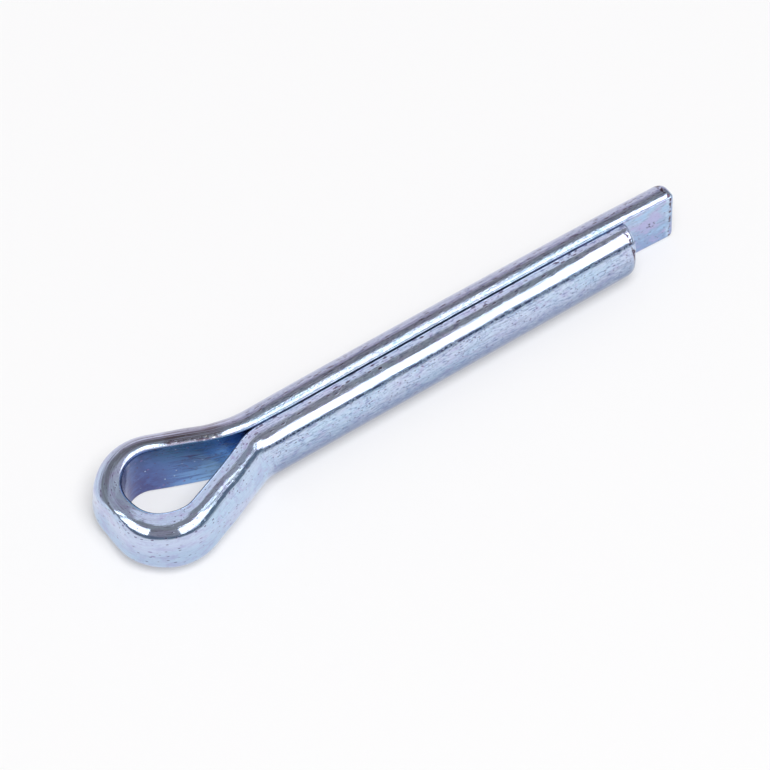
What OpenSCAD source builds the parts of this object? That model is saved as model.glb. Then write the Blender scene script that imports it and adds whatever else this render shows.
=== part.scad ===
// Split cotter pin, bent from one length of half-round wire and lying flat.
// The X axis is the axis of the round that the two legs make, and X = 0 is where
// the legs start to part under the eye. The hole of the eye points along Z.

/* [Wire] */
// Diameter of the round that the two closed legs make together
pin_d = 4.5; // [3.9:0.1:5.2]
// Slit between the flats of the two legs
slit = 0.1; // [0.04:0.02:0.3]
// Rounding along both long edges of the flat
edge_r = 0.16; // [0.06:0.02:0.4]
// How much the wire thins on each face where it is bent
bend_thin = 0.02; // [0.01:0.005:0.04]
// Depth to which the crown is pressed flat round the back of the eye
crown_press = 0.33; // [0.1:0.01:0.5]

/* [Legs] */
// Straight length of the short leg, from the bend to its end
short_leg = 27.8; // [12:0.1:60]
// How much further the long leg reaches
leg_step = 3.8; // [1:0.1:8]
// Rounding of the crown at the end of the long leg
long_tip_r = 0.6; // [0.3:0.1:1.6]
// Rounding of the crown at the end of the short leg
short_tip_r = 0.7; // [0.3:0.1:1.6]

/* [Eye] */
// Inside length of the eye, from the start of the bend to its back
eye_len = 9.55; // [9:0.05:14]
// Inside reach of the eye on the long leg's side of the slit
long_bulge = 2.17; // [2.05:0.01:2.6]
// Inside reach of the eye on the short leg's side of the slit
short_bulge = 2.57; // [2.2:0.01:3]
// Radius of the eye's inside at its flat back
back_r = 6.3; // [4:0.1:12]
// Shift of the back's middle towards the long leg
back_shift = 0.45; // [0:0.05:0.8]
// Inside radius of the shoulder on the long leg's side
long_shoulder_r = 2.0; // [1:0.05:2.05]
// Inside radius of the shoulder on the short leg's side
short_shoulder_r = 2.1; // [1:0.05:2.15]
// Radius of the flat in the bend between the eye and the long leg
long_neck_r = 10.5; // [4:0.1:14]
// Radius of the flat in the bend between the eye and the short leg
short_neck_r = 4.2; // [3.2:0.1:8]

/* [Hidden] */
$fn = 96;

// Reach of one stretch of wire into the next
lap = 0.12;
// How proud the rounded edges stand of the flat and the crown
edge_lip = 0.002;
crown_r = pin_d / 2;
wire_t = crown_r - slit / 2;
edge_y = sqrt(pow(crown_r - edge_r, 2) - pow(edge_r + slit / 2, 2));
back_c = [back_r - eye_len, back_shift];

// A side of the eye is [bulge, shoulder radius, neck radius, shift of the back's middle
// towards that side], seen with that side up.
long_side = [long_bulge, long_shoulder_r, long_neck_r, back_shift];
short_side = [short_bulge, short_shoulder_r, short_neck_r, -back_shift];

// Middle of the shoulder arc, which touches the back arc from inside
function shoulder_c(s) = [
    back_c.x - sqrt(pow(back_r - s[1], 2) - pow(s[0] - s[1] - s[3], 2)),
    s[0] - s[1]
];
// From the middle of the shoulder arc to the middle of the neck arc
function span(s) = [0, slit / 2 + s[2]] - shoulder_c(s);
// Angle between the straight side of the eye and the legs
function flare(s) = asin((s[1] + s[2]) / norm(span(s))) - atan2(span(s).y, span(s).x);
// Length of the straight side of the eye
function side_len(s) = sqrt(pow(norm(span(s)), 2) - pow(s[1] + s[2], 2));
// Direction, from the middle of the back arc, in which back and shoulder meet
function meet(s) = 180 + atan2(s[3] - shoulder_c(s).y, back_c.x - shoulder_c(s).x);

// Half-round section with its flat on X = 0 and its crown towards +X, its rounded edges a
// hair proud of both. In a bend it loses a skin all round and its crown goes slightly oval.
module wire_section(thin = 0) {
    slope = edge_y / (edge_r + slit / 2);
    intersection() {
        translate([-slit / 2, 0]) scale([1, 1 - thin / crown_r]) circle(crown_r - thin);
        polygon([
            [edge_r, -edge_y], [pin_d, -slope * (pin_d + slit / 2)],
            [pin_d, slope * (pin_d + slit / 2)], [edge_r, edge_y]
        ]);
    }
    translate([thin, -edge_y]) square([edge_r - thin, 2 * edge_y]);
    for (y = [-edge_y, edge_y]) translate([edge_r, y]) circle(edge_r + edge_lip - thin);
}

// Wire along +X with its crown towards +Y, lapping past both of its ends
module straight(length) {
    translate([-lap, 0, 0]) rotate([90, 0, 90]) linear_extrude(length + 2 * lap) wire_section();
}

// Wire bent about Z with its flat inside
module bend(r, angle, thin = bend_thin) {
    rotate_extrude(angle = angle) translate([r, 0]) wire_section(thin);
}

// Wire bent about Z with its flat outside
module counter_bend(r, angle) {
    rotate_extrude(angle = angle) translate([r, 0]) mirror([1, 0]) wire_section(bend_thin);
}

// What is rounded off the crown at the end of a leg
module tip_waste(r) {
    translate([-r, 0, 0]) rotate([0, 90, 0]) rotate_extrude() difference() {
        translate([crown_r - r, 0]) square(2 * r);
        translate([crown_r - r, 0]) circle(r);
    }
}

module leg(length, tip_r) {
    difference() {
        translate([0, slit / 2, 0]) straight(length - lap);
        translate([length, 0, 0]) tip_waste(tip_r);
    }
}

// The neck, straight side and shoulder of the eye on one side
module eye_side(s) {
    length = side_len(s);
    top = s[1] + wire_t;
    low = top - crown_press;
    translate([0, slit / 2 + s[2], 0]) rotate(270 - flare(s)) counter_bend(s[2], flare(s));
    translate(shoulder_c(s)) rotate(-flare(s)) {
        intersection() {
            translate([0, s[1], 0]) straight(length);
            linear_extrude(pin_d, center = true) polygon([
                [-length, 0], [2 * length, 0], [2 * length, top + crown_press], [0, low], [-length, low]
            ]);
        }
        intersection() {
            rotate(90) bend(s[1], meet(s) - 90 + flare(s));
            cylinder(h = pin_d, r = low - bend_thin, center = true);
        }
    }
}

module eye_back() {
    turn = lap * 180 / (PI * back_r);
    thin = 2 * bend_thin;
    translate(back_c) rotate(meet(long_side) - turn) intersection() {
        bend(back_r, 360 - meet(long_side) - meet(short_side) + 2 * turn, thin);
        cylinder(h = pin_d, r = back_r + wire_t - crown_press - thin, center = true);
    }
}

module cotter_pin() {
    color([0.72, 0.76, 0.86]) {
        leg(short_leg + leg_step, long_tip_r);
        eye_side(long_side);
        eye_back();
        mirror([0, 1, 0]) {
            eye_side(short_side);
            leg(short_leg, short_tip_r);
        }
    }
}

cotter_pin();
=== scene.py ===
"""Cotter pin in bright blue zinc, lying on a pale studio floor.

One length of half-round wire is folded on itself: two legs, an eye with soft shoulders,
the crown pressed flatter around the eye, and two cut ends.
The wire is swept here as one closed skin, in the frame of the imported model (metres).
"""
import math

import bpy
import numpy as np
from mathutils import Matrix, Vector


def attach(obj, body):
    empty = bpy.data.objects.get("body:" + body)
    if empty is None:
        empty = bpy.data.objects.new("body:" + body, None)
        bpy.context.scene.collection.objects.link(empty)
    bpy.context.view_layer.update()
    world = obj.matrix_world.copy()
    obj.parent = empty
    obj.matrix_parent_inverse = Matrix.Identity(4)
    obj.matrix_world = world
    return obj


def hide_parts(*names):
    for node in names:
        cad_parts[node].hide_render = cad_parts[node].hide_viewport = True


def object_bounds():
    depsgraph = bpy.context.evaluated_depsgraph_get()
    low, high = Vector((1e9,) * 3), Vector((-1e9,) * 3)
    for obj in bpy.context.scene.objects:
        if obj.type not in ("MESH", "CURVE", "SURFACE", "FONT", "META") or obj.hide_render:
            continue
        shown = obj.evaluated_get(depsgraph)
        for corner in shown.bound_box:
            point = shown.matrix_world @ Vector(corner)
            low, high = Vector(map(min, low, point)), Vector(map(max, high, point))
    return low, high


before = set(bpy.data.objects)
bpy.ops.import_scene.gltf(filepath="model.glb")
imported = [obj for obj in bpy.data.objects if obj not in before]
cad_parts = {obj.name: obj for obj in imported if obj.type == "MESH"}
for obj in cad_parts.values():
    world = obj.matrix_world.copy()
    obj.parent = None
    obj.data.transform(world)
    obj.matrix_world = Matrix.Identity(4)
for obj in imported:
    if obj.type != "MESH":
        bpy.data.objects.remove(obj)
cad_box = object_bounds()

MM = 0.001
FLOOR_Z = cad_box[0].z

# ---------------------------------------------------------------- the wire's sizes, mm

PIN_R = 2.25            # radius of the closed pair of legs
HALF_SLIT = 0.020       # half of the gap between the two flats
EDGE_R = 0.150          # rounding where the crown meets the flat
CROWN = PIN_R - HALF_SLIT

EYE_LEN = 9.54          # from the necks to the flat at the back of the eye
FAR_OUT, NEAR_OUT = 2.169, 2.568        # how far each side of the eye swings out
BACK_R, BACK_SHIFT = 6.319, 0.448       # radius of the eye's back, and how far aside it sits
FAR_SHOULDER, NEAR_SHOULDER = 2.011, 2.128      # radii of the bends, on the flat
FAR_NECK, NEAR_NECK = 10.49, 4.244
FAR_START, NEAR_START = 0.229, -0.029   # where each neck begins along the pin
LONG_END, SHORT_END = 31.53, 27.77      # where each leg was cut
# end roundings: crown, upper edge, lower edge, flat
LONG_TIP, SHORT_TIP = (1.10, 0.24, 0.58, 0.26), (0.92, 0.20, 0.60, 0.14)
RIM_R = 0.03            # softened edge around each cut face

# the slit drifts towards the short leg: a little after the necks, and more from DRIFT_FROM on
NECK_DRIFT, TIP_DRIFT = 0.06, 0.34
DRIFT_FROM, DRIFT_RUN, DRIFT_POWER = 10, 22, 3.2
# the long leg's crown: fuller in the middle and at the neck, slimmer towards the tip
BELLY, BELLY_RUN, TAPER, TIP_SLIM, NECK_FULL = 0.0718, 28.0, 0.00913, 0.0476, 0.02

# the crown pressed flatter around the eye: how much, and where it fades (shares of the eye's run)
PRESS, PRESS_FROM, PRESS_FADE = 0.336, 0.14, 0.22
# blows on the pressed crown: depth, the way it faces in degrees (180 is the back), width
BLOWS = ((0.29, 179, 13), (-0.12, 146, 10), (-0.06, 208, 12), (0.03, 274, 2.5), (0.025, 284, 2))
# how far the section leans over: slope, place and width, as shares of the eye's run
LEANS = ((0.055, 0.27, 0.17), (0.08, 0.5, 0.07), (-0.06, 0.63, 0.05), (0.04, 0.85, 0.10))
# slope of the pressed face all round and more at the back, and the height it turns about
DRAFT, BACK_DRAFT = 0.06, 0.09
TURN_LOW, TURN_RISE = -0.9, 1.1
# how softly the pressed face and the cut ends meet the crown, against their own depth
PRESS_SOFT, TIP_SOFT = 0.45, 0.6

STATION = 0.105         # step along the wire
TIP_RUN, TIP_STATIONS = 0.9, 24         # length at each tip where the stations draw together
CROWN_POINTS, FLAT_POINTS, EDGE_POINTS = 62, 22, 9      # points around the section
CROSSFADE = 1.2         # height or width over which one form passes into another


# ---------------------------------------------------------------- small helpers

def smooth(x):
    x = np.clip(x, 0.0, 1.0)
    return x * x * (3.0 - 2.0 * x)


def ramp(x, start, end):
    return smooth((np.asarray(x, float) - start) / (end - start))


def hills(x, rows):
    """Sum of smooth hills, each given as height, centre and width."""
    return sum(height * np.exp(-((x - centre) / width) ** 2) for height, centre, width in rows)


def soft_min(a, b, k):
    """The smaller of two, rounded over a width of k where they meet."""
    k = np.maximum(k, 1e-6)
    return np.minimum(a, b) - np.maximum(k - np.abs(a - b), 0.0) ** 2 / (4.0 * k)


class Grain:
    """Seeded smooth noise in three directions, about -1 to 1."""
    SIDE = 32

    def __init__(self, seed):
        self.cells = np.random.default_rng(seed).uniform(-1, 1, (self.SIDE,) * 3)

    def at(self, x, y, z):
        p = np.stack(np.broadcast_arrays(x, y, z)).astype(float)
        low = np.floor(p).astype(int)
        f = smooth(p - low)
        total = 0.0
        for i in (0, 1):
            for j in (0, 1):
                for k in (0, 1):
                    share = ((f[0] if i else 1 - f[0]) * (f[1] if j else 1 - f[1])
                             * (f[2] if k else 1 - f[2]))
                    step = np.array([i, j, k]).reshape(3, *[1] * (p.ndim - 1))
                    a, b, c = (low + step) % self.SIDE
                    total = total + share * self.cells[a, b, c]
        return total


# ---------------------------------------------------------------- the wire's path

def arc(centre, r, start, end):
    """Points and headings along an arc; the heading follows the travel."""
    n = max(4, int(abs(end - start) * r / STATION))
    a = np.linspace(start, end, n)
    turn = math.pi / 2 if end > start else -math.pi / 2
    return np.c_[centre[0] + r * np.cos(a), centre[1] + r * np.sin(a)], a + turn


def straight(start, end, heading):
    n = max(4, int(np.hypot(*(np.asarray(end) - start)) / STATION))
    t = np.linspace(0, 1, n)[:, None]
    return np.asarray(start) + (np.asarray(end) - start) * t, np.full(n, heading)


def eye_path():
    """The line of the flat, from the far neck round the eye to the near neck."""
    back = np.array([BACK_R - EYE_LEN, BACK_SHIFT])

    def shoulder(out, r, side):
        """Centre of a shoulder that swings out this far and runs smoothly into the back."""
        y = side * (out - r)
        return np.array([back[0] - math.sqrt((BACK_R - r) ** 2 - (y - back[1]) ** 2), y])

    def flare(neck, neck_r, centre, r, side):
        """Angle of the straight side that touches both the neck and the shoulder."""
        dx, dy = neck[0] - centre[0], (neck[1] - centre[1]) * side
        return math.asin((neck_r + r) / math.hypot(dx, dy)) - math.atan2(dy, dx)

    far_c, near_c = shoulder(FAR_OUT, FAR_SHOULDER, 1), shoulder(NEAR_OUT, NEAR_SHOULDER, -1)
    far_neck = np.array([FAR_START, HALF_SLIT + FAR_NECK])
    near_neck = np.array([NEAR_START, -HALF_SLIT - NEAR_NECK])
    far_a = flare(far_neck, FAR_NECK, far_c, FAR_SHOULDER, 1)
    near_a = flare(near_neck, NEAR_NECK, near_c, NEAR_SHOULDER, -1)
    quarter, full = math.pi / 2, 2 * math.pi

    def on(centre, r, angle):
        return centre + r * np.array([math.cos(angle), math.sin(angle)])

    def facing(centre):
        return math.atan2(centre[1] - back[1], centre[0] - back[0]) % full

    far_meet, near_meet = facing(far_c), facing(near_c)
    first, heading = arc(far_neck, FAR_NECK, -quarter, -quarter - far_a)
    pieces = [(first, heading + full)]
    shoulder_start = on(far_c, FAR_SHOULDER, quarter - far_a)
    pieces.append(straight(first[-1], shoulder_start, math.pi - far_a))
    pieces.append(arc(far_c, FAR_SHOULDER, quarter - far_a, far_meet))
    pieces.append(arc(back, BACK_R, far_meet, near_meet))
    pieces.append(arc(near_c, NEAR_SHOULDER, near_meet, 3 * quarter + near_a))
    last, heading = arc(near_neck, NEAR_NECK, quarter + near_a, quarter)
    pieces.append(straight(pieces[-1][0][-1], last[0], full + near_a))
    pieces.append((last, heading + full))
    points = np.vstack([p[0][1:] for p in pieces])
    headings = np.concatenate([p[1][1:] for p in pieces])
    return points, headings


def wire_path():
    """Every station from the long tip to the short tip, with what changes along the wire."""
    eye, eye_head = eye_path()
    along = np.r_[0, np.cumsum(np.hypot(*np.diff(eye, axis=0).T))]
    eye_run = along[-1]
    u = along / eye_run

    def drift(x):
        far = (np.clip(x - DRIFT_FROM, 0, None) / DRIFT_RUN) ** DRIFT_POWER
        return -NECK_DRIFT * ramp(x, 0, 3) - TIP_DRIFT * far

    # the stations draw together towards the rounded tips
    tip = TIP_RUN * (1 - np.cos(np.linspace(0, math.pi / 2, TIP_STATIONS)))
    start = LONG_END - TIP_RUN
    x = np.r_[LONG_END - tip[:-1],
              np.linspace(start, FAR_START, int((start - FAR_START) / STATION))]
    w = x / BELLY_RUN
    crown_line = (CROWN + HALF_SLIT + BELLY * 4 * w * (1 - w) - TAPER * x
                  - TIP_SLIM * ramp(x, 26, 31) + NECK_FULL * ramp(x, 0, 4))
    flat = HALF_SLIT + drift(x)
    long_thin = flat + CROWN - crown_line
    long_points = np.c_[x, flat]
    long_head = math.pi + np.arctan(np.gradient(flat, x))

    stop = SHORT_END - TIP_RUN
    xs = np.linspace(eye[-1][0], stop, int((stop - eye[-1][0]) / STATION))
    xs = np.r_[xs[1:], SHORT_END - tip[-2::-1]]
    short_points = np.c_[xs, drift(xs) - HALF_SLIT]
    short_head = 2 * math.pi + np.arctan(np.gradient(drift(xs), xs))

    points = np.vstack([long_points, eye, short_points])
    heads = np.concatenate([long_head, eye_head, short_head])
    n1, n2, n3 = len(x), len(eye), len(xs)
    pressed = (PRESS * smooth((u - PRESS_FROM) / PRESS_FADE)
               * smooth((1 - u - PRESS_FROM) / PRESS_FADE))
    pressed = np.r_[np.zeros(n1), pressed, np.zeros(n3)]
    thin = np.r_[long_thin, np.zeros(n2), -drift(xs)]
    lean = hills(u, LEANS) * ramp(u, 0, 0.1) * ramp(u, 1, 0.9)
    lean = np.r_[np.zeros(n1), lean, np.zeros(n3)]
    run = np.r_[0, np.cumsum(np.hypot(*np.diff(points, axis=0).T))]
    run = run - run[n1 + n2 // 2]
    return points, heads, run, pressed, thin, lean


# ---------------------------------------------------------------- the wire's section

def half_round():
    """Closed outline of the wire: u away from the flat, v up. Starts on the crown."""
    reach = math.sqrt((PIN_R - EDGE_R) ** 2 - (EDGE_R + HALF_SLIT) ** 2)
    a0 = math.atan2(reach, EDGE_R + HALF_SLIT)
    a = np.linspace(-a0, a0, CROWN_POINTS)
    crown = np.c_[-HALF_SLIT + PIN_R * np.cos(a), PIN_R * np.sin(a)]
    b = np.linspace(a0, math.pi, EDGE_POINTS + 2)[1:-1]
    top = np.c_[EDGE_R + EDGE_R * np.cos(b), reach + EDGE_R * np.sin(b)]
    flat = np.c_[np.zeros(FLAT_POINTS), np.linspace(reach, -reach, FLAT_POINTS)]
    return np.vstack([crown, top, flat, top[::-1] * (1, -1)])


def wire_skin():
    """The section at every station of the path: u away from the flat and v up, in mm."""
    points, heads, run, pressed, thin, lean = wire_path()
    u0, v0 = half_round().T
    to_long, to_short = run - run[0], run[-1] - run

    def tip_drop(d, r):
        d = np.clip(d, 0, r)
        return r - np.sqrt(np.maximum(r * r - (r - d) ** 2, 0))

    top = CROWN - thin
    u = u0[None, :] - thin[:, None] * ramp(u0, 0.0, CROSSFADE)[None, :]
    # the pressed face: blows left it flat at the back, with a corner either side, and the
    # face leans in towards the top
    facing = np.degrees(np.arctan2(-np.cos(heads), np.sin(heads))) % 360
    in_eye = pressed / PRESS
    draft = (DRAFT + BACK_DRAFT * ramp(facing, 225, 185) * ramp(facing, 120, 160)) * in_eye
    turn_height = TURN_LOW + TURN_RISE * ramp(facing, 205, 160)
    face = (top - pressed - hills(facing, BLOWS) * in_eye)[:, None]
    face = face - draft[:, None] * (v0 - turn_height[:, None])
    u = np.where(in_eye[:, None] > 0.01, soft_min(u, face, (PRESS_SOFT * pressed)[:, None]), u)
    # the cut ends: well rounded on the crown, nearly sharp on the upper edge and the flat.
    # the rounding clips the upper half of the crown, and draws the lower half in
    crown, upper, lower, flat = (tip_drop(to_long, a)[:, None] + tip_drop(to_short, b)[:, None]
                                 for a, b in zip(LONG_TIP, SHORT_TIP))
    limit = top[:, None] - crown
    clipped = soft_min(u, limit, np.maximum(TIP_SOFT * crown, 1e-3))
    high = ramp(v0, 0.0, CROSSFADE)
    u = np.where(crown > 1e-6, clipped * high + u * (limit / top[:, None]) * (1 - high), u)
    u = u * (1 - flat / top[:, None]) + flat
    v = v0 * (1 - np.where(v0 > 0, upper, lower) / PIN_R)
    return points, heads, run, lean, u, v


def band(first, second, count, flip=False):
    """Quads between two rings of vertices, each given by its first vertex."""
    quads = [(first + j, first + (j + 1) % count, second + (j + 1) % count, second + j)
             for j in range(count)]
    return [quad[::-1] for quad in quads] if flip else quads


def close_ends(ring):
    """Shrinking rings past each end: (points, how far over the rim, share of the full size)."""
    def rings(end, inner):
        centre = end.mean(axis=0)
        out = (end - inner).mean(axis=0)
        out = out / np.linalg.norm(out)
        size = np.linalg.norm(end - centre, axis=1, keepdims=True)
        made = []
        for t in (0.25, 0.5, 0.75, 1.0):
            turn = t * math.pi / 2
            keep = 1 - RIM_R * (1 - math.cos(turn)) / size
            rim = centre + (end - centre) * keep + out * RIM_R * math.sin(turn)
            made.append((rim, t, keep[:, 0]))
        last, kept = made[-1][0], made[-1][2]
        middle = last.mean(axis=0)
        for share in (0.88, 0.72, 0.54, 0.34, 0.14):
            made.append((middle + (last - middle) * share, 1.0, kept * share))
        return made, middle
    return rings(ring[0], ring[1]), rings(ring[-1], ring[-2])


def build_wire():
    """Vertices (mm), faces, where each vertex lies on the wire, and how far it is on a cut face."""
    points, heads, run, lean, u, v = wire_skin()
    n, m = u.shape
    side = np.c_[np.sin(heads), -np.cos(heads)]
    uu = u + v * lean[:, None]
    x = points[:, :1] + side[:, :1] * uu
    y = points[:, 1:] + side[:, 1:] * uu

    ring = np.stack([x, y, v], axis=-1)
    d_along = np.gradient(ring, axis=0)
    d_round = np.roll(ring, -1, axis=1) - np.roll(ring, 1, axis=1)
    normal = np.cross(d_round, d_along)
    normal /= np.maximum(np.linalg.norm(normal, axis=-1, keepdims=True), 1e-9)
    # the relief has to rise outwards, whichever way round the section runs
    outward = side[:, None, 0] * normal[..., 0] * (u - CROWN / 4) + normal[..., 2] * v
    if outward.mean() < 0:
        normal = -normal

    s = np.broadcast_to(run[:, None], (n, m))
    ring = ring + normal * surface_relief(s, u, v)[..., None]

    verts = ring.reshape(-1, 3)
    place = np.stack([s, u, v], axis=-1).reshape(-1, 3)
    faces = []
    for i in range(n - 1):
        faces += band(i * m, (i + 1) * m, m)
    ends = close_ends(ring)
    cut = np.zeros(len(verts))
    for (made, centre), last_row, flip in ((ends[0], 0, True), (ends[1], n - 1, False)):
        previous = last_row * m
        mid = np.array([run[last_row], u[last_row].mean(), 0.0])
        outer = np.stack([s[last_row], u[last_row], v[last_row]], axis=-1)
        for ring_points, depth, share in made:
            start = len(verts)
            verts = np.vstack([verts, ring_points])
            place = np.vstack([place, mid + (outer - mid) * share[:, None]])
            cut = np.r_[cut, np.full(m, depth)]
            faces += band(previous, start, m, flip)
            previous = start
        hub = len(verts)
        verts = np.vstack([verts, centre])
        place = np.vstack([place, mid])
        cut = np.r_[cut, 1.0]
        for j in range(m):
            tri = (previous + j, previous + (j + 1) % m, hub)
            faces.append(tri[::-1] if flip else tri)
    return verts, faces, place, cut


def surface_relief(s, u, v):
    """Height of the worked surface above the drawn section, mm."""
    broad, fine, groove, dent = Grain(11), Grain(12), Grain(13), Grain(14)
    in_eye = ramp(np.abs(s), 12.5, 9.5)
    crown = ramp(u, 0.02, 0.5)
    rise = (0.003 + 0.004 * in_eye) * broad.at(s * 0.35, u * 0.5, v * 0.5)
    rise = rise + (0.0015 + 0.022 * in_eye * crown) * dent.at(s * 0.75, u * 0.6 + 3, v * 0.6)
    rise = rise + 0.0016 * fine.at(s * 1.4, u * 1.8, v * 1.8)
    rise = rise + (0.0012 + 0.0020 * in_eye) * crown * groove.at(s * 0.16, u * 2.6, v * 2.6)
    # a turned-up edge along the far side of the eye, on top
    turned = ramp(s, -9.6, -8.6) * ramp(s, -4.3, -5.4) * ramp(v, 0.8, 1.8)
    rise = rise + 0.075 * turned * np.clip(1 - u / 0.7, 0, 1) ** 2 * ramp(u, 0.0, 0.05)
    return rise


verts, faces, place, cut = build_wire()
mesh = bpy.data.meshes.new("cotter_wire")
mesh.from_pydata((verts * MM).tolist(), [], faces)
mesh.update()
mesh.validate()


def mark(name, kind, field, values):
    """Keep a value at each vertex, for the plating to read."""
    made = mesh.attributes.new(name, kind, "POINT")
    made.data.foreach_set(field, values.astype(np.float32).ravel())


run = place[:, 0]
to_end = np.minimum(run - run.min(), run.max() - run)
mark("wire", "FLOAT_VECTOR", "vector", place)
mark("cut_face", "FLOAT", "value", cut)
mark("to_end", "FLOAT", "value", to_end - cut * RIM_R)
mesh.polygons.foreach_set("use_smooth", [True] * len(mesh.polygons))
wire = bpy.data.objects.new("cotter_wire", mesh)
bpy.context.scene.collection.objects.link(wire)
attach(wire, "root")
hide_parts("cotter_pin")


# ---------------------------------------------------------------- shader maths

class Value:
    """One shader socket that can be added, multiplied and clamped like a number."""

    def __init__(self, shader, socket):
        self.shader, self.socket = shader, socket

    def _math(self, operation, *terms, clamp=False):
        settings = {"operation": operation, "use_clamp": clamp}
        return self.shader.value(self.shader.node("Math", settings, *terms))

    def __add__(self, other): return self._math("ADD", self, other)
    def __radd__(self, other): return self._math("ADD", self, other)
    def __sub__(self, other): return self._math("SUBTRACT", self, other)
    def __rsub__(self, other): return self._math("SUBTRACT", other, self)
    def __mul__(self, other): return self._math("MULTIPLY", self, other)
    def __rmul__(self, other): return self._math("MULTIPLY", self, other)
    def clamp(self): return self._math("ADD", self, 0.0, clamp=True)
    def abs(self): return self._math("ABSOLUTE", self)


class Shader:
    """The node tree of a material or of the world, with one method that makes any node."""

    def __init__(self, owner, output):
        owner.use_nodes = True
        self.owner, self.output, self.tree = owner, output, owner.node_tree
        self.tree.nodes.clear()

    def node(self, kind, settings=None, *inputs, **named):
        """A node of this kind: its settings, then its inputs in order, then those by name."""
        made = self.tree.nodes.new("ShaderNode" + kind)
        for key, value in (settings or {}).items():
            setattr(made, key, value)
        for i, value in enumerate(inputs):
            self.put(made.inputs[i], value)
        for key, value in named.items():
            self.put(made.inputs[key.replace("_", " ")], value)
        return made

    def put(self, socket, value):
        if isinstance(value, Value):
            self.tree.links.new(value.socket, socket)
        else:
            socket.default_value = value

    def value(self, node, output=0):
        return Value(self, node.outputs[output])

    def attribute(self, name, output):
        return self.value(self.node("Attribute", {"attribute_name": name}), output)

    def stretch(self, place, scale):
        return self.value(self.node("VectorMath", {"operation": "MULTIPLY"}, place, scale))

    def split(self, place):
        node = self.node("SeparateXYZ", None, place)
        return [self.value(node, i) for i in range(3)]

    def noise(self, place, scale=1.0, detail=3.0, rough=0.5):
        return self.value(self.node("TexNoise", {"noise_dimensions": "3D"}, Vector=place,
                                    Scale=scale, Detail=detail, Roughness=rough))

    def spots(self, place, spread=1.0):
        """Distance to the nearest of many scattered points."""
        return self.value(self.node("TexVoronoi", {"feature": "F1"}, Vector=place, Scale=1.0,
                                    Randomness=spread), "Distance")

    def between(self, value, low, high, to_low=0.0, to_high=1.0):
        """A smooth step, from to_low at low to to_high at high."""
        return self.value(self.node("MapRange", {"interpolation_type": "SMOOTHSTEP"},
                                    value, low, high, to_low, to_high))

    def near(self, value, centre, inner, outer):
        """1 within inner of the centre, falling smoothly to 0 at outer."""
        return self.between((value - centre).abs(), inner, outer, 1.0, 0.0)

    def mix(self, share, a, b):
        """One colour passing into another by share."""
        node = self.node("Mix", {"data_type": "RGBA"}, share)
        for socket, colour in ((node.inputs[6], a), (node.inputs[7], b)):
            self.put(socket, colour if isinstance(colour, Value) else (*colour, 1.0))
        return self.value(node, 2)

    def bump(self, height, distance, strength):
        return self.value(self.node("Bump", Strength=strength, Distance=distance, Height=height))

    def emission(self, colour, strength):
        return self.node("Emission", Color=(*colour, 1.0), Strength=strength)

    def looked_at(self):
        """1 for the camera, reflections and clear glass, and 0 for rays that carry light."""
        path = self.node("LightPath")
        return (self.value(path, "Is Camera Ray") + self.value(path, "Is Glossy Ray")
                + self.value(path, "Is Transmission Ray")).clamp()

    def either(self, share, first, second):
        return self.node("MixShader", None, share, self.value(first), self.value(second))

    def surface(self, shader_node):
        self.node(self.output, None, self.value(shader_node))
        return self.owner


def material(name, flat):
    """A new material's shader; flat is its plain colour without nodes."""
    made = bpy.data.materials.new(name)
    made.diffuse_color = (*flat, 1.0)
    return Shader(made, "OutputMaterial")


class Coat:
    """A colour built up by painting one tint after another over it."""

    def __init__(self, shader, colour):
        self.shader, self.colour = shader, colour

    def paint(self, share, tint):
        self.colour = self.shader.mix(share, self.colour, tint)


# ---------------------------------------------------------------- materials

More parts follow.
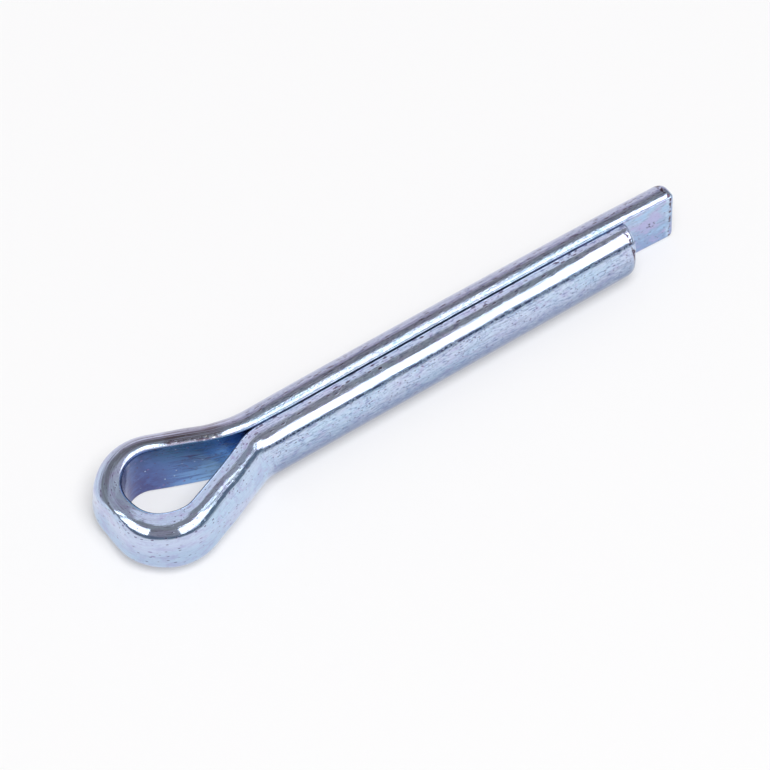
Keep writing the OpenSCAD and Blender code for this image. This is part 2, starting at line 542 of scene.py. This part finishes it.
class Tint:
    """Colours of the plating, its film, and the dirt and wear on it, with the painted shade,
    shadows, glints and dark reflected line on it (linear).
    """
    BLUE_WHITE, LILAC_WHITE, CYAN_WHITE = (0.52, 0.66, 0.85), (0.58, 0.66, 0.85), (0.58, 0.72, 0.88)
    LAVENDER, EYE_MOTTLE, FAR_FLANK = (0.48, 0.48, 0.72), (0.42, 0.42, 0.68), (0.43, 0.42, 0.60)
    # the first of these is painted shade, darkening the lower part of the crown
    UNDERSIDE, DRAWN_LINE = (0.14, 0.19, 0.33), (0.23, 0.25, 0.38)
    DARK_STROKE, LIGHT_STROKE = (0.10, 0.16, 0.36), (0.72, 0.84, 0.97)
    DARK_STREAK, LIGHT_STREAK = (0.15, 0.12, 0.15), (0.66, 0.66, 0.86)
    # the last of these is painted glints, small white dots
    WORN, RIM_DIRT, SPARKLE = (0.21, 0.18, 0.23), (0.10, 0.075, 0.10), (0.93, 0.97, 1.0)
    # the first of these is painted reflection, the dark line at the foot of the bright band
    BAND_FOOT, SCUFFED_EDGE = (0.03, 0.08, 0.20), (0.30, 0.44, 0.52)
    # painted shadow in the slit, then painted shade on the short leg's edge beside it
    SEAM, NEAR_LIP = (0.016, 0.065, 0.15), (0.16, 0.20, 0.34)
    PIT, BLOT, SPECK = (0.11, 0.07, 0.11), (0.26, 0.19, 0.40), (0.12, 0.08, 0.18)
    CUT_GRIME = (0.10, 0.065, 0.10)
    # the flat at the tip of the long leg; the first blue deepens towards the bottom of the flat as
    # painted shade
    TIP_BLUE, TIP_VIOLET, TIP_SKY = (0.26, 0.37, 0.60), (0.50, 0.44, 0.72), (0.40, 0.62, 0.86)
    TIP_SCUFF, TIP_BARE = (0.03, 0.03, 0.06), (0.60, 0.82, 0.98)
    # the film inside the eye, whose dark blue is partly painted shade in the hollow of the eye
    FILM_FOOT, FILM_HEAD, FILM_PALE = (0.138, 0.255, 0.53), (0.075, 0.19, 0.35), (0.50, 0.66, 0.90)
    FILM_PLUM, FILM_INK, FILM_DUSK = (0.09, 0.06, 0.19), (0.07, 0.07, 0.20), (0.10, 0.13, 0.32)
    FILM_SKY, FILM_CLOUD, FILM_DOT = (0.40, 0.68, 0.98), (0.13, 0.22, 0.50), (0.65, 0.80, 0.92)
    LIGHT_FOLD, DARK_FOLD = (0.34, 0.62, 0.98), (0.09, 0.03, 0.11)


OVERHANG = 3.8          # how far the long leg's bare tip reaches past the short one, mm
BUMP_DEPTH, BUMP_STRENGTH = 0.000012, 0.6


def eye_film(sh, place, along, height, cloud):
    """The deep blue film on the flats inside the eye, and the dark folds in it. Its darkness is
    partly painted shade of the eye's hollow.
    """
    film = Coat(sh, Tint.FILM_FOOT)
    film.paint(sh.between(height, 0.0, 1.9), Tint.FILM_HEAD)
    film.paint(sh.between(along, -7.0, -2.5) * sh.between(height, 1.3, -1.2), Tint.FILM_PLUM)
    film.paint(sh.between(along, -5.6, -3.2) * sh.between(along, 1.0, -0.6) * 0.55, Tint.FILM_INK)
    film.paint(sh.between(along, 0.5, 3.0), Tint.FILM_PALE)
    film.paint(sh.between(along, -6.0, -3.0) * sh.between(along, -1.2, -2.4) * 0.45,
               Tint.FILM_DUSK)
    film.paint(sh.between(along, -6.5, -9.5) * sh.between(height, 1.9, 0.2), Tint.FILM_SKY)
    film.paint(sh.between(cloud, 0.42, 0.66) * 0.5, Tint.FILM_CLOUD)
    folds = sh.noise(sh.stretch(place, (0.22, 3.4, 3.4)), detail=2.0)
    light = sh.between(folds, 0.52, 0.62) * sh.between(along, -4.8, -7.0)
    film.paint(light * sh.between(height, 1.4, 0.4) * 0.4, Tint.LIGHT_FOLD)
    fold = sh.near(folds, 0.5, 0.004, 0.014) * sh.between(along, -4.2, -6.2)
    film.paint(fold * 0.60, Tint.DARK_FOLD)
    dots = sh.between(sh.spots(sh.stretch(place, (1.7, 1.7, 1.7)), spread=0.5), 0.11, 0.06)
    film.paint(dots * 0.7, Tint.FILM_DOT)
    return film.colour, fold


def zinc():
    """Bright blue zinc. Every mark has its place on the wire, measured in mm."""
    sh = material("bright_blue_zinc", (0.72, 0.76, 0.86))
    place = sh.attribute("wire", "Vector")
    cut = sh.attribute("cut_face", "Fac")
    to_end = sh.attribute("to_end", "Fac")
    # along: from the back of the eye, negative on the long leg; height: from mid-wire
    along, off_flat, height = sh.split(place)

    def grain(scale, **how):
        return sh.noise(sh.stretch(place, scale), **how)

    def spots(*scale):
        return sh.spots(sh.stretch(place, scale))

    # the parts of the wire
    in_eye = sh.between(along.abs(), 9.6, 12.2, 1.0, 0.0)
    legs = 1.0 - in_eye
    far_side = sh.between(along, -1.0, -5.0)
    near_side = 1.0 - far_side
    on_flat = sh.between(off_flat, 0.01, 0.09, 1.0, 0.0)
    off_flats = 1.0 - on_flat
    on_top = sh.between(height, 1.45, 1.75)
    inside = in_eye * sh.between(off_flat + far_side * 0.07, 0.12, 0.19, 1.0, 0.0)
    paired = to_end - far_side * OVERHANG       # from the short leg's end, on either leg
    # the strip along the short leg's crest where the bright reflected band lies; the marks below
    # are left off it, a painted highlight that keeps the band clean
    crest = sh.near(height, 1.90, 0.15, 0.22) * near_side * legs
    dull = 1.0 - crest
    # the top edge of the long leg, scuffed all along the slit
    top_edge = sh.between(off_flat, 0.75, 0.35) * sh.between(height, 1.2, 1.8) * far_side * legs
    scuffed = top_edge * sh.between(paired, 0.7, 1.3)

    broad = grain((0.30, 0.7, 0.7), detail=2.0)
    cloud = grain((1.3, 2.2, 2.2), detail=5.0, rough=0.65)
    mottle = grain((1.6, 1.6, 1.6), detail=4.0, rough=0.7)
    drawn = grain((0.22, 8.0, 8.0), detail=4.0, rough=0.6)
    strokes = grain((2.4, 15.0, 15.0), detail=2.0, rough=0.6)
    ticks = grain((12.0, 2.4, 2.4), detail=2.0)
    patch = grain((0.8, 1.5, 1.5), detail=1.0)
    sand = grain((7.0, 9.0, 9.0), detail=1.0)

    # plating colour: blue-white, turning lavender and a little cyan in clouds
    coat = Coat(sh, Tint.BLUE_WHITE)
    coat.paint(sh.between(broad, 0.38, 0.62), Tint.LILAC_WHITE)
    coat.paint(sh.between(cloud, 0.50, 0.66) * 0.65, Tint.LAVENDER)
    coat.paint(sh.between(cloud, 0.46, 0.32) * 0.55, Tint.CYAN_WHITE)
    coat.paint(sh.between(mottle, 0.52, 0.62) * in_eye * 0.35, Tint.EYE_MOTTLE)
    # painted shade: the crown turns dark blue towards the bottom, on the legs far more than in the
    # eye
    under = sh.between(height, 1.2, -0.6) * (1.0 - in_eye * 0.8) * off_flats
    coat.paint(under * 0.90, Tint.UNDERSIDE)
    # the crown of the far side turns darker and more lavender
    coat.paint(far_side * sh.between(off_flat, 0.35, 1.2) * 0.75, Tint.FAR_FLANK)

    # fine strokes and drawing lines
    stroke = (sh.between(strokes, 0.57, 0.60) + sh.between(ticks, 0.58, 0.68) * 0.4).clamp()
    coat.paint(stroke * dull * (legs * 0.44 + 0.12), Tint.DARK_STROKE)
    coat.paint(sh.between(strokes, 0.45, 0.33) * legs * dull * 0.35, Tint.LIGHT_STROKE)
    coat.paint(sh.between(drawn, 0.52, 0.66) * (legs * 0.22 + far_side * legs * 0.18 + 0.10),
               Tint.DRAWN_LINE)

    # around the back of the eye: streaks, a worn patch, and dirt and painted glints along the far
    # rim
    streaks = grain((0.14, 8.0, 8.0), detail=3.0)
    far_rim = in_eye * far_side * sh.between(along, -12.0, -10.0)
    round_back = in_eye * sh.between(along, 4.0, 2.0) * sh.between(along, -12.0, -10.0)
    streak = sh.between(streaks, 0.47, 0.56) * round_back * sh.between(off_flat, 0.42, 0.70)
    streak = streak * (far_side * 0.6 + 0.2)
    streak = streak * sh.between(height, 0.6, 1.6, 0.2, 1.0) * sh.between(off_flat, 1.9, 1.4)
    worn = sh.between(along, -5.0, -5.6) * sh.between(along, -9.4, -8.6)
    worn = worn * sh.between(height, 1.3, 1.7)
    coat.paint(worn * sh.between(streaks, 0.40, 0.54, 0.10, 0.85), Tint.WORN)
    coat.paint(streak * 0.85, Tint.DARK_STREAK)
    rim = sh.between(off_flat, 0.55, 0.36) * sh.between(height, 1.4, 1.7) * far_rim
    rim = rim * sh.between(along, -4.6, -5.6) * sh.between(along, -9.2, -8.4)
    coat.paint(rim * sh.between(ticks + cloud, 0.94, 1.06) * 0.8, Tint.RIM_DIRT)
    # painted glints: small white dots near the inner edge of the far rim
    sparkle = sh.between(spots(2.6, 4.6, 4.6), 0.34, 0.22) * rim * sh.between(along, -6.6, -7.6)
    coat.paint(sparkle * 0.9, Tint.SPARKLE)
    coat.paint(sh.between(streaks, 0.44, 0.34) * round_back * far_side * 0.5, Tint.LIGHT_STREAK)

    # at the foot of the bright reflected band on the short leg: a dark, nibbled line, a painted
    # reflection
    nibble = sh.near(height, 1.65, 0.04, 0.08) * sh.between(cloud + ticks, 0.92, 1.02)
    nibble = nibble * legs * near_side * off_flats
    coat.paint(nibble * 0.85, Tint.BAND_FOOT)
    coat.paint(scuffed * sh.between(ticks, 0.42, 0.58) * 0.4, Tint.SCUFFED_EDGE)

    # the film on the eye's inner flats, its darkness partly painted shade in the hollow of the eye
    film, fold = eye_film(sh, place, along, height, cloud)
    coat.paint(inside, film)

    # the flat of the long tip: its blue deepening towards the bottom as painted shade, violet and
    # sky-blue patches, and one cluster of scuffs
    tint = grain((0.55, 0.9, 0.9), detail=3.0, rough=0.6)
    tip_flat = on_flat * legs
    coat.paint(tip_flat * sh.between(height, 1.9, -2.0, 0.25, 0.90), Tint.TIP_BLUE)
    coat.paint(tip_flat * sh.between(tint, 0.48, 0.60) * 0.6, Tint.TIP_VIOLET)
    coat.paint(tip_flat * sh.between(tint, 0.47, 0.36) * 0.6, Tint.TIP_SKY)
    from_scuff = ((to_end - 1.75) * (to_end - 1.75) * 9.0
                  + (height - 0.25) * (height - 0.25) * 9.0)
    scuff = sh.between(from_scuff, 0.5, 1.2, 1.0, 0.0)
    scuff = scuff * sh.between(spots(5.0, 6.0, 6.0), 0.48, 0.38) * tip_flat
    coat.paint(scuff, Tint.TIP_SCUFF)
    bare = sh.near(to_end, 0.50, 0.05, 0.22) * sh.between(tint, 0.40, 0.60)
    coat.paint(bare * tip_flat * 0.6, Tint.TIP_BARE)

    # dark purple-brown pits: long ones on top, along the wire, and small round ones all over
    crowded = patch + sh.between(to_end, 9.0, 4.0) * 0.09
    pit = sh.between(spots(1.4, 4.2, 4.2) - far_side * 0.02, 0.21, 0.28, 1.0, 0.0) * on_top
    pit = pit * sh.between(crowded, 0.31, 0.41)
    pit = pit * dull * (1.0 - top_edge) * (1.0 - in_eye * 0.7)
    coat.paint(pit * 0.85, Tint.PIT)
    blot = sh.between(spots(1.5, 1.8, 1.8), 0.09, 0.17, 1.0, 0.0) * in_eye
    coat.paint(blot * sh.between(broad, 0.42, 0.50) * 0.7, Tint.BLOT)
    speck = sh.between(spots(3.2, 5.0, 5.0), 0.15, 0.21, 1.0, 0.0) * sh.between(patch, 0.40, 0.50)
    speck = speck * dull * (1.0 - top_edge)
    coat.paint(speck * 0.85, Tint.SPECK)

    # painted shadow down in the slit, and painted shade on the short leg's edge beside it
    seam = sh.between(off_flat, 0.050, 0.018) * on_top * sh.between(along.abs(), 11.5, 17.0)
    seam = seam * sh.between(paired, 4.5, 10.0)
    coat.paint(seam * 0.9, Tint.SEAM)
    near_lip = sh.between(off_flat, 0.26, 0.12) * near_side * legs * on_top
    coat.paint(near_lip * 0.45, Tint.NEAR_LIP)

    # worn, dark plating where the ends were cut
    chips = grain((3.0, 4.5, 4.5), detail=1.0)
    ring = sh.near(to_end - (cloud - 0.5) * 0.4, 0.40, 0.02, 0.09) * off_flats
    chip = sh.near(to_end - (cloud - 0.5) * 0.3, 0.32, 0.04, 0.12) * sh.between(chips, 0.50, 0.56)
    grime = (ring * sh.between(chips, 0.38, 0.54) * 0.7 + chip).clamp()
    coat.paint(grime, Tint.CUT_GRIME)

    rough = (sh.between(cloud, 0.3, 0.7, 0.038, 0.085) + scuffed * 0.07 + cut * 0.15
             + inside * 0.10 + seam * 0.5 + worn * 0.12)
    glint = sh.between(off_flat, 0.40, 0.20) * sh.between(height, 1.5, 1.8) * far_rim
    relief = ((drawn * 0.6 + strokes * 0.22 + ticks * 0.10) * (1.0 - inside * 0.7)
              + sand * (scuffed * 1.6 + glint) + (sand + ticks) * nibble * 0.8
              - pit * 0.5 - speck * 0.5 - grime * 0.8 - scuff * 1.5 + fold * 0.8 * inside)
    return sh.surface(sh.node("BsdfPrincipled", Base_Color=coat.colour, Metallic=1.0,
                              Roughness=rough, Normal=sh.bump(relief, BUMP_DEPTH, BUMP_STRENGTH)))


WHITE = (1.0, 1.0, 1.0)
FLOOR_GLOW, GLOW_STRENGTH = 0.28, 0.975


def floor_white():
    """A matt white floor. It glows a little where it is looked at, so that its shadow is soft."""
    sh = material("studio_floor", (0.9, 0.9, 0.9))
    tone = sh.noise(sh.value(sh.node("TexCoord"), "Object"), scale=6.0, detail=2.0)
    colour = sh.mix(tone, (0.90, 0.90, 0.91), (0.92, 0.92, 0.925))
    matt = sh.node("BsdfPrincipled", Base_Color=colour, Roughness=0.9)
    glow = sh.emission(WHITE, GLOW_STRENGTH)
    return sh.surface(sh.either(sh.looked_at() * FLOOR_GLOW, matt, glow))


mesh.materials.append(zinc())


# ---------------------------------------------------------------- floor, light and background

def add(name, data):
    made = bpy.data.objects.new(name, data)
    bpy.context.scene.collection.objects.link(made)
    return made


FLOOR_HALF = 0.9        # half of the floor's side, m

floor_mesh = bpy.data.meshes.new("studio_floor")
floor_mesh.from_pydata([(-FLOOR_HALF, -FLOOR_HALF, 0), (FLOOR_HALF, -FLOOR_HALF, 0),
                        (FLOOR_HALF, FLOOR_HALF, 0), (-FLOOR_HALF, FLOOR_HALF, 0)],
                       [], [(0, 1, 2, 3)])
floor_mesh.materials.append(floor_white())
floor = add("studio_floor", floor_mesh)
floor.location.z = FLOOR_Z

# the panels stand on a dome around the pin and show only in its reflections
DOME_R, PANEL_ROWS, PANEL_STEP = 0.60, 8, 6     # m, rows of points, degrees between columns


def on_dome(azimuth, elevation):
    """The direction of a place on the dome, from angles in radians."""
    return Vector((math.cos(elevation) * math.cos(azimuth),
                   math.cos(elevation) * math.sin(azimuth), math.sin(elevation)))


def dome_panel(name, low, high, start, end, strength, tone=WHITE):
    """A curved studio panel: elevations low to high, azimuths start to end, in degrees."""
    rows, cols = PANEL_ROWS, max(6, int((end - start) / PANEL_STEP))
    points = [on_dome(a, e) * DOME_R for e in np.radians(np.linspace(low, high, rows))
              for a in np.radians(np.linspace(start, end, cols))]
    quads = [(i * cols + j, i * cols + j + 1, (i + 1) * cols + j + 1, (i + 1) * cols + j)
             for i in range(rows - 1) for j in range(cols - 1)]
    data = bpy.data.meshes.new(name)
    data.from_pydata(points, [], quads)
    data.update()
    sh = material(name, tone)
    data.materials.append(sh.surface(sh.emission(tone, strength)))
    made = add(name, data)
    made.visible_camera = False
    made.visible_shadow = False
    made.visible_diffuse = False


WARM, LILAC, SKY = (1.0, 0.95, 0.93), (1.0, 0.94, 0.99), (0.8, 1.0, 1.2)
WINDOW = 2.6            # strength of the bright panes
FRONT, BACK = (39.0, 58.6), (37, 57)    # elevations of the two rows of windows

dome_panel("front_window", *FRONT, -96, -55, WINDOW)
dome_panel("front_bar", *FRONT, -55, -53, 1.1, LILAC)
dome_panel("front_pane", *FRONT, -53, -36, WINDOW)
dome_panel("right_bar", *FRONT, -36, -31, 0.40, LILAC)
dome_panel("right_slot", 42, 58.6, -31, -27, 2.2)
dome_panel("right_wing", *FRONT, -27, -5, 0.42, LILAC)
dome_panel("left_window", *FRONT, -197, -144, WINDOW)
dome_panel("camera_side", *FRONT, -144, -96, 0.36, LILAC)
dome_panel("front_frame", 27, 39.0, -200, -10, 0.22, SKY)
dome_panel("front_sill", 24, 27, -200, -10, 0.62)
dome_panel("front_step", 19, 24, -200, -10, 0.95)
dome_panel("front_gap", 58.6, 75, -200, -2, 0.36, WARM)
dome_panel("roof", 75, 89.5, -180, 180, 0.92, LILAC)
dome_panel("roof_side", 57, 75, -2, 64, 0.92, LILAC)
dome_panel("back_gap", 57, 68, 64, 163, 0.46, LILAC)
dome_panel("back_roof", 68, 75, 64, 163, 0.92, LILAC)
dome_panel("back_window", *BACK, 40, 68, WINDOW)
dome_panel("back_taper", 44, 57, 68, 75, WINDOW)
dome_panel("back_lip", 37, 44, 68, 75, 0.55, LILAC)
dome_panel("back_wing", *BACK, 75, 151, 0.55, LILAC)
dome_panel("left_pane", *BACK, 151, 157, WINDOW)
dome_panel("left_bar", *BACK, 157, 163, 0.55, LILAC)
dome_panel("back_frame", 11, 37, -5, 160, 0.34, WARM)
dome_panel("back_sill", -1, 11, -5, 160, 0.66, LILAC)


def soft_lamp(name, azimuth, elevation, size, power, distance):
    """A round lamp that lights the floor and the pin, and isn't seen in reflections."""
    lamp = bpy.data.lights.new(name, "AREA")
    lamp.shape, lamp.size = "DISK", size
    lamp.energy = power
    made = add(name, lamp)
    way = on_dome(math.radians(azimuth), math.radians(elevation))
    made.location = way * distance
    made.rotation_mode = "QUATERNION"
    made.rotation_quaternion = way.to_track_quat("Z", "Y")
    made.visible_glossy = False


def studio_world():
    """White where it is looked at, and a gentle fill light for everything else."""
    sh = Shader(bpy.data.worlds.new("studio"), "OutputWorld")
    fill = sh.node("Background", Color=(1.0, 0.985, 0.985, 1.0), Strength=0.35)
    white = sh.node("Background", Color=(*WHITE, 1.0), Strength=1.0)
    return sh.surface(sh.either(sh.looked_at(), fill, white))


soft_lamp("overhead", -100, 71, size=0.84, power=16.1, distance=1.4)
bpy.context.scene.world = studio_world()


# ---------------------------------------------------------------- camera

TURN, HEIGHT, ROLL = math.radians(57.1576), math.radians(57.7045), math.radians(-0.7035)
AIM = Vector((9.0444, -0.8222, 0.014)) * MM
DISTANCE = 590.7 * MM
PX_PER_MM, IMAGE_PX = 15.787, 770.0     # scale of the image at the aim, and its width
SENSOR = 36.0

ahead = Vector((math.cos(TURN) * math.cos(HEIGHT), math.sin(TURN) * math.cos(HEIGHT),
                -math.sin(HEIGHT)))
right = Vector((math.sin(TURN), -math.cos(TURN), 0.0))
up = right.cross(ahead)
right, up = (right * math.cos(ROLL) + up * math.sin(ROLL),
             up * math.cos(ROLL) - right * math.sin(ROLL))
lens = bpy.data.cameras.new("camera")
lens.sensor_width = SENSOR
lens.lens = SENSOR * PX_PER_MM * (DISTANCE / MM) / IMAGE_PX
lens.clip_start, lens.clip_end = 0.01, 10.0
camera = add("camera", lens)
camera.matrix_world = Matrix((
    (right.x, up.x, -ahead.x, 0), (right.y, up.y, -ahead.y, 0),
    (right.z, up.z, -ahead.z, 0), (0, 0, 0, 1)))
camera.location = AIM - ahead * DISTANCE
bpy.context.scene.camera = camera
bpy.context.scene.view_settings.view_transform = "Standard"
